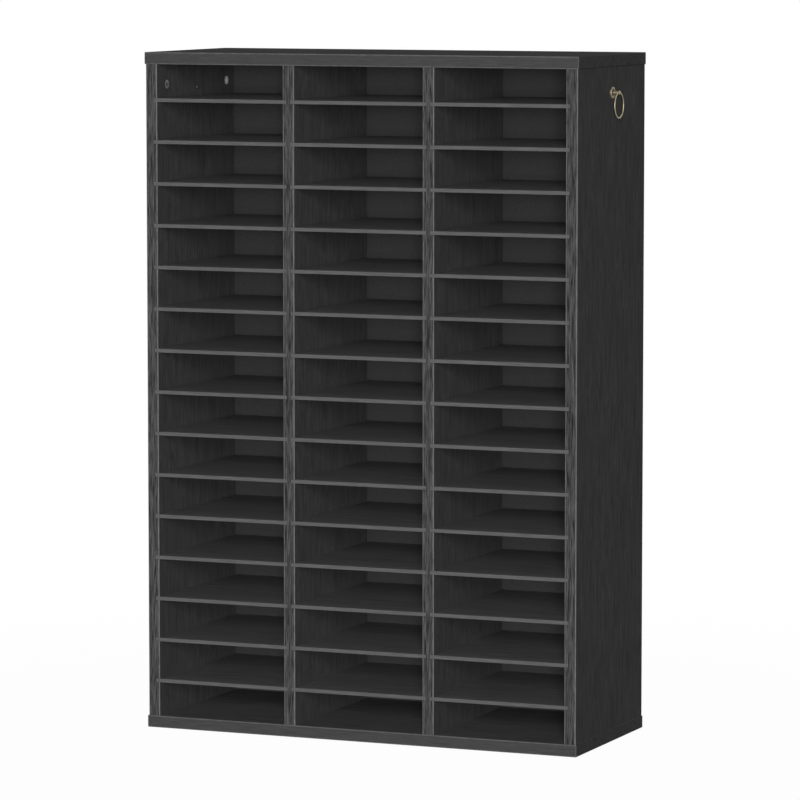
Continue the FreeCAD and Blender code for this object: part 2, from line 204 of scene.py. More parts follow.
def new_group(name: str, kind: TreeKind, inputs: Mapping[SocketKind, Sequence[str]],
              outputs: Sequence[str]) -> tuple[Bench, Any]:
    """Make a node group with named sockets.

    Args:
        name: The group's name.
        kind: What it is a group of.
        inputs: The names of its inputs of each kind.
        outputs: The names of its outputs.

    Returns:
        A bench in the group, and what the inputs give.
    """
    tree_type, output_type = kind.value
    group = bpy.data.node_groups.new(name, tree_type)
    for socket_kind, labels in inputs.items():
        for label in labels:
            group.interface.new_socket(label, in_out="INPUT", socket_type=socket_kind.value)
    for label in outputs:
        group.interface.new_socket(label, in_out="OUTPUT", socket_type=output_type)
    bench = Bench(group)
    return bench, bench.add("NodeGroupInput").outputs


def cleared(owner: Material | bpy.types.World) -> Bench:
    """Empty a material's or a world's node tree and return a bench in it."""
    owner.use_nodes = True
    owner.node_tree.nodes.clear()
    return Bench(owner.node_tree)


# ---- shared effects


@dataclass(frozen=True)
class GrainScale:
    """How often a printed grain repeats in a metre, and how far it sways in metres."""

    streaks_across: float = 150.0
    streaks_along: float = 5.0
    pores_across: float = 620.0
    pores_along: float = 28.0
    sway: float = 0.03


class SharedEffects:
    """Builds the shader groups that several finishes use."""

    # Patchiness shared by the metals' edge wear and the laminate's painted highlights.
    wear_and_highlight_patches: Span = (0.35, 0.6)
    wear_and_highlight_detail: float = 3.0

    def __init__(self) -> None:
        """Build each group once."""
        self.grain = self._grain()
        self.arris = self._arris()
        self.rim = self._rim_highlight()
        self.mottle = self._mottle()

    def _grain(self) -> Tree:
        """Make long soft streaks and short pores that run along Z.

        Returns:
            The group.
        """
        drift_scale, drift_middle = 3.2, (0.5, 0.5, 0.5)
        streak_detail, streak_span, streak_height = 4.0, (0.32, 0.68), 0.4
        pore_detail, pore_span = 2.0, (0.50, 0.68)
        fibre_roughness = 0.6
        bench, given = new_group("embossed_grain", TreeKind.SHADER, {
            SocketKind.VECTOR: ["Vector"], SocketKind.NUMBER: list(named_inputs(GrainScale()))},
            ["Streaks", "Pores", "Relief"])
        drift = bench.noise(given["Vector"], drift_scale, 1.0)["Color"]
        sway = bench.vectors("SUBTRACT", drift, drift_middle)[0]
        bent = bench.vectors("MULTIPLY_ADD", sway, bench.vector(given["Sway"], given["Sway"]),
                             given["Vector"])[0]

        def stretched(across: str, along: str, detail: float) -> Socket:
            """Return a noise that repeats across and along the grain as these inputs say."""
            rate = bench.vector(given[across], given[across], given[along])
            return bench.noise(bench.vectors("MULTIPLY", bent, rate)[0], 1.0, detail,
                               fibre_roughness)["Fac"]

        streaks = bench.spread(stretched("Streaks Across", "Streaks Along", streak_detail),
                               streak_span)
        pores = bench.spread(stretched("Pores Across", "Pores Along", pore_detail), pore_span)
        relief = bench.sum("SUBTRACT", bench.sum("MULTIPLY", streaks, streak_height), pores)
        return bench.give({"Streaks": streaks, "Pores": pores, "Relief": relief})

    def _arris(self) -> Tree:
        """Make a mask of the broken edges, uneven along their length, for the laminate's painted
        highlight and the metals' rubbed edges.

        Returns:
            The group.
        """
        sloping, patch_scale = (0.95, 0.8), 90.0
        bench, given = new_group("arris_wear_and_highlight", TreeKind.SHADER, {
            SocketKind.VECTOR: ["Vector", "Normal"], SocketKind.NUMBER: ["Unevenness"]}, ["Mask"])
        x, y, z = bench.parts(bench.vectors("ABSOLUTE", given["Normal"])[0])
        slope = bench.spread(bench.sum("MAXIMUM", bench.sum("MAXIMUM", x, y), z), sloping)
        noise = bench.noise(given["Vector"], patch_scale, self.wear_and_highlight_detail)["Fac"]
        bare = bench.sum("SUBTRACT", 1.0, bench.spread(noise, self.wear_and_highlight_patches))
        kept = bench.sum("SUBTRACT", 1.0, bench.sum("MULTIPLY", bare, given["Unevenness"]))
        return bench.give({"Mask": bench.sum("MULTIPLY", slope, kept)})

    def _rim_highlight(self) -> Tree:
        """Make a mask of the painted highlight line along both rims of a board's front edge.

        The boards lie in pairs about two middles, an inner and an outer one.

        Returns:
            The group.
        """
        patch_scale, patch_strength = 70.0, (0.35, 1.0)
        bench, given = new_group("painted_rim_highlight", TreeKind.SHADER, {
            SocketKind.VECTOR: ["Vector"],
            SocketKind.NUMBER: ["Across", "Inner Middle", "Outer Middle", "Half Width", "Line"]},
            ["Mask"])
        inner, outer = (
            bench.sum("ABSOLUTE", bench.sum("SUBTRACT", given["Across"], given[middle]))
            for middle in ("Inner Middle", "Outer Middle"))
        solid_from = bench.sum("SUBTRACT", given["Half Width"], given["Line"])
        faint_from = bench.sum("SUBTRACT", solid_from, given["Line"])
        line = bench.spread(bench.sum("MINIMUM", inner, outer), (faint_from, solid_from))
        noise = bench.noise(given["Vector"], patch_scale, self.wear_and_highlight_detail)["Fac"]
        patchy = bench.spread(noise, self.wear_and_highlight_patches, patch_strength)
        return bench.give({"Mask": bench.sum("MULTIPLY", line, patchy)})

    @staticmethod
    def _mottle() -> Tree:
        """Make a soft cloudy value and a fine speckle.

        Returns:
            The group.
        """
        cloud_detail, cloud_span = 3.0, (0.3, 0.7)
        speckle_fineness, speckle_detail, speckle_span = 60.0, 2.0, (0.35, 0.65)
        bench, given = new_group("soft_mottle", TreeKind.SHADER, {
            SocketKind.VECTOR: ["Vector"], SocketKind.NUMBER: ["Scale"]}, ["Clouds", "Speckle"])
        clouds = bench.noise(given["Vector"], given["Scale"], cloud_detail)["Fac"]
        fine_scale = bench.sum("MULTIPLY", given["Scale"], speckle_fineness)
        fine = bench.noise(given["Vector"], fine_scale, speckle_detail)["Fac"]
        return bench.give({"Clouds": bench.spread(clouds, cloud_span),
                           "Speckle": bench.spread(fine, speckle_span)})


@dataclass(frozen=True)
class Surface:
    """A material under construction: its bench, its shader and its coordinates."""

    material: Material
    bench: Bench
    shader: bpy.types.Node
    place: Socket
    normal: Socket

    @classmethod
    def start(cls, name: str, **constants: float) -> "Surface":
        """Start a material with a Principled shader.

        Args:
            name: The material's name.
            **constants: Shader inputs that are the same all over, with _ for a space.

        Returns:
            The surface to build on.
        """
        material = bpy.data.materials.new(name)
        bench = cleared(material)
        shader = bench.add("ShaderNodeBsdfPrincipled", {
            key.replace("_", " "): value for key, value in constants.items()})
        bench.add("ShaderNodeOutputMaterial", {"Surface": shader.outputs[0]})
        spots = bench.add("ShaderNodeTexCoord").outputs
        return cls(material, bench, shader, spots["Object"], spots["Normal"])

    def group(self, tree: Tree, inputs: Mapping[str, Any]) -> Any:
        """Place a shared effect, at the surface's own place by default, and return its outputs."""
        return self.bench.add("ShaderNodeGroup", {"Vector": self.place, **inputs},
                              node_tree=tree).outputs

    def finish(self, colour: Socket, roughness: Socket, height: Socket,
               relief: Span) -> Material:
        """Join what changes over the surface to the shader.

        Args:
            colour: The base colour.
            roughness: The roughness.
            height: Where the surface stands high.
            relief: How much of that shows, and how many metres high it stands.

        Returns:
            The finished material.
        """
        strength, distance = relief
        bump = self.bench.out("ShaderNodeBump", {
            "Height": height, "Strength": strength, "Distance": distance})
        for name, given in (("Base Color", colour), ("Roughness", roughness), ("Normal", bump)):
            self.bench.tree.links.new(given, self.shader.inputs[name])
        return self.material


# ---- finishes


@dataclass(frozen=True)
class Edging:
    """Where the front edges of like boards lie, for the painted highlight line along their rims.
    """

    axis: int
    inner_middle: float
    outer_middle: float
    half_width: float

    @classmethod
    def of(cls, axis: int, inner: str, outer: str) -> "Edging":
        """Read how an inner and an outer board lie along X (0) or Z (2) in the frame."""
        (low, high), (far_low, far_high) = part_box(inner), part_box(outer)
        return cls(axis, (low[axis] + high[axis]) / 2, (far_low[axis] + far_high[axis]) / 2,
                   (high[axis] - low[axis]) / 2)


@dataclass(frozen=True)
class Laminate:
    """Black wood-grain laminate with a streaked band on its front edge."""

    name: str
    grain: Grain
    edging: Edging | None = None
    dark: Colour = grey(0.051)
    pale: Colour = grey(0.078)
    pore: Colour = grey(0.100)
    pore_strength: float = 0.8
    face_scale: GrainScale = GrainScale(190.0, 12.0, 300.0, 38.0)
    mottle_scale: float = 15.0
    band_dark: Colour = grey(0.004)
    band_pale: Colour = grey(0.126)
    band_scale: GrainScale = GrainScale(900.0, 28.0, 620.0, 38.0, 0.006)
    dashes: float = 0.5
    # A pale film on upward faces: dust together with painted light from above.
    dust_and_light_dark: Colour = grey(0.150)
    dust_and_light_pale: Colour = grey(0.240)
    dust: float = 0.0
    dust_and_light_patches: Span = (0.85, 1.0)
    # The pale colour of the painted highlight on the front edge's rims and forward arrises, the
    # rim line's width and the arrises' share.
    rubbed: Colour = grey(0.200)
    highlight_line: float = 1.0 * MM
    arris_highlight: float = 0.6
    unevenness: float = 0.4
    gloss: float = 0.0
    roughness: Span = (0.55, 0.66)
    pore_roughness: float = 0.1
    relief: Span = (0.15, 0.4 * MM)

    def build(self, effects: SharedEffects) -> Material:
        """Make the material.

        Args:
            effects: The shared shader groups.

        Returns:
            The material.
        """
        level, facing_front, forward = (0.7, 0.95), (-0.6, -0.95), (-0.3, -0.6)
        surface = Surface.start(self.name, Specular_IOR_Level=self.gloss)
        bench = surface.bench
        turned = bench.out("ShaderNodeMapping", {
            "Vector": surface.place, "Rotation": self.grain.value})
        grain, fine = (surface.group(effects.grain, {"Vector": turned, **named_inputs(scale)})
                       for scale in (self.face_scale, self.band_scale))
        mottle = surface.group(effects.mottle, {"Scale": self.mottle_scale})
        _, front, up = bench.parts(surface.normal)
        face = bench.blend(grain["Streaks"], self.dark, self.pale)
        pores = bench.sum("MULTIPLY", grain["Pores"], mottle["Clouds"])
        face = bench.blend(bench.sum("MULTIPLY", pores, self.pore_strength), face, self.pore)
        # Upward faces turn pale: dust and painted light from above.
        settled_dust_and_light = bench.spread(up, level, (0.0, self.dust))
        patchy = bench.spread(mottle["Clouds"], UNIT, self.dust_and_light_patches)
        dust_and_light_film = bench.blend(grain["Streaks"], self.dust_and_light_dark, self.dust_and_light_pale)
        face = bench.blend(bench.sum("MULTIPLY", settled_dust_and_light, patchy), face, dust_and_light_film)
        edge = bench.spread(front, facing_front)
        streaked = bench.blend(fine["Streaks"], self.band_dark, self.band_pale)
        dashes = bench.sum("MULTIPLY", fine["Pores"], self.dashes)
        colour = bench.blend(edge, face, bench.blend(dashes, streaked, self.band_dark))
        # Paint a pale highlight line along both rims of the front edge band.
        if self.edging:
            across = bench.parts(surface.place)[self.edging.axis]
            rim = surface.group(effects.rim, {
                "Across": bench.sum("ABSOLUTE", across), "Inner Middle": self.edging.inner_middle,
                "Outer Middle": self.edging.outer_middle, "Half Width": self.edging.half_width,
                "Line": self.highlight_line})
            colour = bench.blend(bench.sum("MULTIPLY", rim["Mask"], edge), colour, self.rubbed)
        # Paint the forward-facing arrises pale: a painted highlight.
        arris = surface.group(effects.arris, {
            "Normal": surface.normal, "Unevenness": self.unevenness})
        wear_and_highlight = bench.spread(front, forward, (0.0, self.arris_highlight))
        colour = bench.blend(bench.sum("MULTIPLY", arris["Mask"], wear_and_highlight), colour, self.rubbed)
        roughness = bench.sum("ADD", bench.spread(mottle["Clouds"], UNIT, self.roughness),
                              bench.sum("MULTIPLY", grain["Pores"], self.pore_roughness))
        return surface.finish(colour, roughness, grain["Relief"], self.relief)


@dataclass(frozen=True)
class Hardboard:
    """Dark thin fibreboard with a faint fibre speckle."""

    name: str = "hardboard"
    dark: Colour = grey(0.034)
    pale: Colour = grey(0.046)
    cloud: Colour = grey(0.040)
    cloudiness: float = 0.4
    mottle_scale: float = 9.0
    gloss: float = 0.02
    roughness: Span = (0.62, 0.74)
    relief: Span = (0.2, 0.3 * MM)

    def build(self, effects: SharedEffects) -> Material:
        """Make the material.

        Args:
            effects: The shared shader groups.

        Returns:
            The material.
        """
        surface = Surface.start(self.name, Specular_IOR_Level=self.gloss)
        bench = surface.bench
        mottle = surface.group(effects.mottle, {"Scale": self.mottle_scale})
        colour = bench.blend(mottle["Speckle"], self.dark, self.pale)
        clouds = bench.sum("MULTIPLY", mottle["Clouds"], self.cloudiness)
        colour = bench.blend(clouds, colour, self.cloud)
        roughness = bench.spread(mottle["Clouds"], UNIT, self.roughness)
        return surface.finish(colour, roughness, mottle["Speckle"], self.relief)


@dataclass(frozen=True)
class Metal:
    """A metal or painted finish: two tones, with painted shade and tarnish where marked hollow,
    rubbed bright on edges.
    """

    name: str
    deep: Colour
    bright: Colour
    metallic: float
    roughness: Span
    mottle_scale: float = 60.0
    grime: Colour = grey(0.02)
    edge_shine: float = 0.5
    unevenness: float = 0.7
    relief: Span = (0.12, 0.1 * MM)

    def build(self, effects: SharedEffects) -> Material:
        """Make the material.

        Args:
            effects: The shared shader groups.

        Returns:
            The material.
        """
        surface = Surface.start(self.name, Metallic=self.metallic)
        bench = surface.bench
        mottle = surface.group(effects.mottle, {"Scale": self.mottle_scale})
        arris = surface.group(effects.arris, {
            "Normal": surface.normal, "Unevenness": self.unevenness})
        wear_and_highlight = bench.sum("MAXIMUM", mottle["Clouds"],
                         bench.sum("MULTIPLY", arris["Mask"], self.edge_shine))
        colour = bench.blend(wear_and_highlight, self.deep, self.bright)
        # Darken what is marked hollow: painted shade in the fittings' recesses, tarnish and
        # painted shade on the pulls.
        hollow = bench.add("ShaderNodeAttribute", attribute_name="hollow").outputs["Fac"]
        colour = bench.blend(hollow, colour, self.grime)
        roughness = bench.spread(mottle["Clouds"], UNIT, self.roughness)
        return surface.finish(colour, roughness, mottle["Speckle"], self.relief)


@dataclass(frozen=True)
class Beech:
    """Pale beech with fine grain along its length."""

    name: str = "beech"
    dark: Colour = (0.50, 0.33, 0.19, 1.0)
    pale: Colour = (0.66, 0.48, 0.30, 1.0)
    scale: GrainScale = GrainScale(streaks_across=700.0, pores_across=1500.0)
    roughness: Span = (0.6, 0.75)
    relief: Span = (0.25, 0.2 * MM)

    def build(self, effects: SharedEffects) -> Material:
        """Make the material.

        Args:
            effects: The shared shader groups.

        Returns:
            The material.
        """
        surface = Surface.start(self.name)
        bench = surface.bench
        grain = surface.group(effects.grain, named_inputs(self.scale))
        colour = bench.blend(grain["Streaks"], self.dark, self.pale)
        roughness = bench.spread(grain["Pores"], UNIT, self.roughness)
        return surface.finish(colour, roughness, grain["Relief"], self.relief)


class Finishes:
    """Every material of the sorter."""

    def __init__(self, effects: SharedEffects) -> None:
        """Build the materials.

        Args:
            effects: The shared shader groups.
        """
        self.upright = Laminate("laminate_upright", Grain.UPRIGHT, Edging.of(
            0, "right_divider", "right_side_panel")).build(effects)
        # The top and bottom boards carry a darker band and a fainter painted rim highlight.
        crosswise = Laminate("laminate_crosswise", Grain.CROSSWISE,
                             Edging.of(2, "bottom_panel", "top_panel"),
                             band_dark=grey(0.048), band_pale=grey(0.074), rubbed=grey(0.150))
        self.crosswise = crosswise.build(effects)
        # The bottom board's top takes the pale film of dust and painted light from above.
        self.dusty_lit_crosswise = replace(
            crosswise, name="laminate_crosswise_dust_and_top_light", dust=0.6).build(effects)
        # The shelves' tops take the pale film of dust and painted light from above.
        self.shelf = Laminate(
            "shelf_board", Grain.CROSSWISE, gloss=0.10, dust=0.62, dust_and_light_pale=grey(0.270),
            dark=grey(0.058), pale=grey(0.080), band_dark=grey(0.077),
            band_pale=grey(0.123)).build(effects)
        self.hardboard = Hardboard().build(effects)
        self.beech = Beech().build(effects)
        # Each metal's deep and bright tone, how metallic it is and the span of its roughness.
        # The fittings' recesses are darkened with painted shade; the brass's last colour is its
        # tarnish and painted shade.
        self.zinc = Metal("zinc", (0.70, 0.70, 0.71, 1.0), (0.92, 0.92, 0.93, 1.0), 0.2,
                          (0.45, 0.6), grime=grey(0.55)).build(effects)
        # A darker copy of the zinc for the front cams: painted shade.
        self.shaded_zinc = Metal(
            "shaded_zinc", grey(0.26), grey(0.55), 0.35, (0.5, 0.65)).build(effects)
        self.steel = Metal("steel", grey(0.40), grey(0.62), 1.0, (0.28, 0.42)).build(effects)
        self.black_steel = Metal(
            "black_steel", grey(0.012), grey(0.035), 0.0, (0.38, 0.55)).build(effects)
        self.brass = Metal(
            "antique_brass", (0.16, 0.133, 0.078, 1.0), (0.40, 0.36, 0.26, 1.0), 1.0,
            (0.40, 0.52), 70.0, (0.05, 0.042, 0.020, 1.0)).build(effects)


# ---- geometry node pieces


def grown(name: str, tree: Tree, inputs: Mapping[str, Any], places: Sequence[Place] = (ORIGIN,),
          turns: Sequence[Place] = (ORIGIN,)) -> Piece:
    """Run a geometry tree on points and return what it makes as a plain mesh.

    Args:
        name: The new piece's name.
        tree: The geometry tree.
        inputs: A value for each of its named inputs.
        places: The points that it starts from.
        turns: The turn of what is placed on each point.

    Returns:
        The piece, at the origin, with no modifier.
    """
    mesh = bpy.data.meshes.new(name + "_points")
    mesh.from_pydata([tuple(place) for place in places], [], [])
    turn = mesh.attributes.new("turn", "FLOAT_VECTOR", "POINT")
    turn.data.foreach_set("vector", [value for row in turns for value in row])
    carrier = shown(name + "_points", mesh)
    modifier = carrier.modifiers.new("grow", "NODES")
    modifier.node_group = tree
    for item in tree.interface.items_tree:
        if item.item_type == "SOCKET" and item.in_out == "INPUT" and item.name in inputs:
            modifier[item.identifier] = inputs[item.name]
    evaluated = carrier.evaluated_get(bpy.context.evaluated_depsgraph_get())
    made = bpy.data.meshes.new_from_object(evaluated)
    made.name = name
    carrier.modifiers.remove(modifier)
    bpy.data.objects.remove(carrier)
    return shown(name, made)


def dressed(bench: Bench, geometry: Socket, material: Socket) -> Tree:
    """End a geometry tree with real geometry that wears its material, and return the tree."""
    real = bench.out("GeometryNodeRealizeInstances", {"Geometry": geometry})
    return bench.give({"Geometry": bench.out("GeometryNodeSetMaterial", {
        "Geometry": real, "Material": material})})


@dataclass
class Shelves:
    """The thin boards that slide in the uprights' grooves."""

    finishes: Finishes
    in_each_column: int = 15
    front_round: float = 0.6 * MM
    round_steps: int = 4
    seam: float = 0.01 * MM

    def tree(self) -> Tree:
        """Make the geometry tree of one shelf, rounded on its two front edges.

        Returns:
            The tree.
        """
        bench, given = new_group("shelf", TreeKind.GEOMETRY, {
            SocketKind.GEOMETRY: ["Geometry"],
            SocketKind.NUMBER: ["Width", "Depth", "Thickness", "Front Round"],
            SocketKind.COUNT: ["Round Steps"], SocketKind.VECTOR: ["Place"],
            SocketKind.MATERIAL: ["Material"]}, ["Geometry"])
        section = bench.out("GeometryNodeCurvePrimitiveQuadrilateral", {
            "Width": given["Depth"], "Height": given["Thickness"]}, mode="RECTANGLE")
        forward = bench.parts(bench.out("GeometryNodeInputPosition"))[0]
        radius = bench.sum("MULTIPLY", bench.sum("LESS_THAN", forward, 0.0),
                           given["Front Round"])
        rounded = bench.out("GeometryNodeFilletCurve", {
            "Curve": section, "Radius": radius, "Count": given["Round Steps"]}, mode="POLY")
        end = bench.out("GeometryNodeFillCurve", {"Curve": rounded}, mode="NGONS")
        drawn = bench.out("GeometryNodeExtrudeMesh", {
            "Mesh": end, "Offset": bench.vector(z=given["Width"]), "Individual": False})
        other_end = bench.out("GeometryNodeFlipFaces", {"Mesh": end})
        closed = bench.out("GeometryNodeMergeByDistance", {
            "Geometry": bench.join(drawn, other_end), "Distance": self.seam})
        placed = bench.out("GeometryNodeTransform", {
            "Geometry": closed, "Translation": given["Place"],
            "Rotation": (QUARTER, 0.0, QUARTER)})
        return dressed(bench, placed, given["Material"])

    def build(self) -> None:
        """Make every shelf where its solid lies and let it ride on its own body."""
        tree = self.tree()
        for column in Column:
            for number in range(1, self.in_each_column + 1):
                node = f"shelf_{column.value}_{number:02d}"
                low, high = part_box(node)
                middle = (low + high) / 2
                piece = grown(f"{column.value}_shelf_board_{number:02d}", tree, {
                    "Width": high.x - low.x, "Depth": high.y - low.y,
                    "Thickness": high.z - low.z, "Front Round": self.front_round,
                    "Round Steps": self.round_steps, "Place": (low.x, middle.y, middle.z),
                    "Material": self.finishes.shelf})
                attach(piece, f"{column.value}_shelf_{number:02d}")
                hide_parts(node)
            LOG.info("shelves of the %s column", column.value)


@dataclass
class Carcass:
    """The boards of the carcass and what is hidden in their joints, dressed where they are."""

    finishes: Finishes
    uprights: tuple[str, ...] = ("left_side_panel", "right_side_panel", "left_divider",
                                 "right_divider")

    def dress(self) -> None:
        """Give each board and hidden fitting its finish."""
        finishes = self.finishes
        wear = {name: finishes.upright for name in self.uprights}
        wear.update({"top_panel": finishes.crosswise,
                     "bottom_panel": finishes.dusty_lit_crosswise,
                     "back_panel": finishes.hardboard, "dowels": finishes.beech,
                     "cam_bolts": finishes.steel})
        for name, material in wear.items():
            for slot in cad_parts[name].material_slots:
                slot.material = material
            LOG.info("%s wears %s", name, material.name)


@dataclass(frozen=True)
class Recess:
    """The cross that a driver fits: the size of each of its two slots."""

    slot_length: float
    slot_width: float
    slot_depth: float


@dataclass
class Fittings:
    """Cam locks, base screws and pull screws, each with the recess that its driver fits."""

    finishes: Finishes
    cam_sink: float = 0.2 * MM
    cam_face_height: float = 3.0 * MM
    front_cam_recess: Recess = Recess(9.6 * MM, 1.6 * MM, 1.6 * MM)
    rear_cam_recess: Recess = Recess(4.6 * MM, 1.6 * MM, 1.6 * MM)
    base_head_radius: float = 5.0 * MM
    base_shank_radius: float = 3.2 * MM
    base_recess: Recess = Recess(4.6 * MM, 1.1 * MM, 1.5 * MM)
    pull_head_height: float = 2.2 * MM
    pull_head_round: float = 0.7 * MM
    pull_shank_radius: float = 1.75 * MM
    pull_recess: Recess = Recess(3.8 * MM, 0.9 * MM, 1.2 * MM)
    head_sides: int = 40
    shank_sides: int = 24
    # How far the recess's painted shade reaches from the axis, as a share of the slot length, and
    # how far below the face it starts.
    hollow_reach: float = 0.52
    hollow_from: float = -0.05 * MM

    def __post_init__(self) -> None:
        """Take the side panels' inner faces from the frame, and make the tree."""
        self.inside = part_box("right_side_panel")[0].x
        self.inward = [(0.0, -side.value * QUARTER, 0.0) for side in Side]
        self.tree = self._tree()

    def _tree(self) -> Tree:
        """Make the tree of a turned fitting with a cross recess, looking along +Z.

        Its face lies in the point's plane, a shank or body runs back from it, and two bars
        cut the recess.

        Returns:
            The tree.
        """
        bench, given = new_group("driven_fitting", TreeKind.GEOMETRY, {
            SocketKind.GEOMETRY: ["Geometry"],
            SocketKind.NUMBER: ["Face Radius", "Neck Radius", "Head Height", "Shank Radius",
                                "Shank Length", "Slot Length", "Slot Width", "Slot Depth"],
            SocketKind.MATERIAL: ["Material"]}, ["Geometry"])

        def at_height(mesh: Socket, height: Socket) -> Socket:
            """Return the mesh moved along Z."""
            return bench.out("GeometryNodeTransform", {
                "Geometry": mesh, "Translation": bench.vector(z=height)})

        def bar(length: Socket, width: Socket) -> Socket:
            """Return one bar of the recess, standing half out of the face."""
            size = bench.vector(length, width, bench.sum("MULTIPLY", given["Slot Depth"], 2.0))
            return bench.out("GeometryNodeMeshCube", {"Size": size})

        head_low = bench.sum("MULTIPLY", given["Head Height"], -1.0)
        head = at_height(bench.out("GeometryNodeMeshCone", {
            "Vertices": self.head_sides, "Radius Top": given["Face Radius"],
            "Radius Bottom": given["Neck Radius"], "Depth": given["Head Height"]}), head_low)
        shank_middle = bench.sum("SUBTRACT", head_low,
                                 bench.sum("MULTIPLY", given["Shank Length"], 0.5))
        shank = at_height(bench.out("GeometryNodeMeshCylinder", {
            "Vertices": self.shank_sides, "Radius": given["Shank Radius"],
            "Depth": given["Shank Length"]}), shank_middle)
        cut = bench.add("GeometryNodeMeshBoolean", {"Mesh 1": head}, operation="DIFFERENCE",
                        solver="EXACT")
        for length, width in (("Slot Length", "Slot Width"), ("Slot Width", "Slot Length")):
            bench.tree.links.new(bar(given[length], given[width]), cut.inputs["Mesh 2"])
        # Mark the faces inside the recess, where painted shade darkens them.
        x, y, z = bench.parts(bench.out("GeometryNodeInputPosition"))
        reach = bench.vectors("LENGTH", bench.vector(x, y))["Value"]
        edge = bench.sum("MULTIPLY", given["Slot Length"], self.hollow_reach)
        hollow = bench.sum("MULTIPLY", bench.sum("LESS_THAN", reach, edge),
                           bench.sum("LESS_THAN", z, self.hollow_from))
        marked = bench.out("GeometryNodeStoreNamedAttribute", {
            "Geometry": cut.outputs["Mesh"], "Name": "hollow", "Value": hollow},
            data_type="FLOAT", domain="FACE")
        turn = bench.out("GeometryNodeInputNamedAttribute", {"Name": "turn"},
                         data_type="FLOAT_VECTOR")
        standing = bench.out("GeometryNodeInstanceOnPoints", {
            "Points": given["Geometry"], "Instance": bench.join(marked, shank),
            "Rotation": turn})
        return dressed(bench, standing, given["Material"])

    def _fit(self, name: str, node: str, sizes: Mapping[str, Any], recess: Recess,
             places: Sequence[Place], turns: Sequence[Place]) -> None:
        """Make one set of fittings and let it ride on the carcass in its solids' place.

        Args:
            name: The piece's name.
            node: The solids that it stands for.
            sizes: The tree's inputs, apart from the recess.
            recess: The recess in each face.
            places: The middle of each face.
            turns: The turn of each fitting.
        """
        piece = grown(name, self.tree, {**sizes, **named_inputs(recess)}, places, turns)
        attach(piece, "carcass")
        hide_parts(node)
        LOG.info("%s", piece.name)

    def _cam_locks(self) -> None:
        """Make the front pair of cams in a darker copy of the zinc, painted shade, and the
        brighter rear pair.
        """
        low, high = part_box("cam_locks")
        radius, height = (high.z - low.z) / 2, (high.z + low.z) / 2
        length = high.x - self.inside - self.cam_sink - self.cam_face_height
        for word, y, recess, finish in (
                ("front", low.y + radius, self.front_cam_recess, self.finishes.shaded_zinc),
                ("rear", high.y - radius, self.rear_cam_recess, self.finishes.zinc)):
            self._fit(f"{word}_cam_lock_pair", "cam_locks", {
                "Face Radius": radius, "Neck Radius": radius,
                "Head Height": self.cam_face_height, "Shank Radius": radius,
                "Shank Length": length, "Material": finish}, recess,
                [(side.value * (self.inside + self.cam_sink), y, height) for side in Side],
                self.inward)

    def _base_screws(self) -> None:
        """Make the countersunk screws under the uprights."""
        low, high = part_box("base_screws")
        rows = (low.y + self.base_head_radius, high.y - self.base_head_radius)
        middles = [sum(corner.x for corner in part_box(board)) / 2 for board in Carcass.uprights]
        head = self.base_head_radius - self.base_shank_radius
        places = [(x, y, low.z) for x in middles for y in rows]
        self._fit("base_screw_set", "base_screws", {
            "Face Radius": self.base_head_radius, "Neck Radius": self.base_shank_radius,
            "Head Height": head, "Shank Radius": self.base_shank_radius,
            "Shank Length": high.z - low.z - head, "Material": self.finishes.steel},
            self.base_recess, places, [(math.pi, 0.0, 0.0)] * len(places))

    def _pull_screws(self) -> None:
        """Make the screws that hold the ring pulls, their heads in the compartments."""
        low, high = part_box("pull_screws")
        radius = (high.z - low.z) / 2
        face = self.inside - self.pull_head_height
        self._fit("pull_screw_set", "pull_screws", {
            "Face Radius": radius - self.pull_head_round, "Neck Radius": radius,
            "Head Height": self.pull_head_height, "Shank Radius": self.pull_shank_radius,
            "Shank Length": high.x - self.inside, "Material": self.finishes.black_steel},
            self.pull_recess,
            [(side.value * face, (low.y + high.y) / 2, (low.z + high.z) / 2) for side in Side],
            self.inward)

    def build(self) -> None:
        """Make the three kinds of fitting on the carcass."""
        self._cam_locks()
        self._base_screws()
        self._pull_screws()


# ---- ring pulls


def solid(name: str, build: Callable[[bmesh.types.BMesh], None], material: Material) -> Piece:
    """Make a smooth closed piece with bmesh.

    Args:
        name: The piece's name.
        build: Fills the bmesh in the row frame.
        material: What it wears.

    Returns:
        The piece at the origin.
    """
    weld = 0.001 * MM
    form = bmesh.new()
    build(form)
    bmesh.ops.remove_doubles(form, verts=form.verts, dist=weld)
    bmesh.ops.recalc_face_normals(form, faces=form.faces)
    for face in form.faces:
        face.smooth = True
    mesh = bpy.data.meshes.new(name)
    form.to_mesh(mesh)
    form.free()
    mesh.materials.append(material)
    return shown(name, mesh)


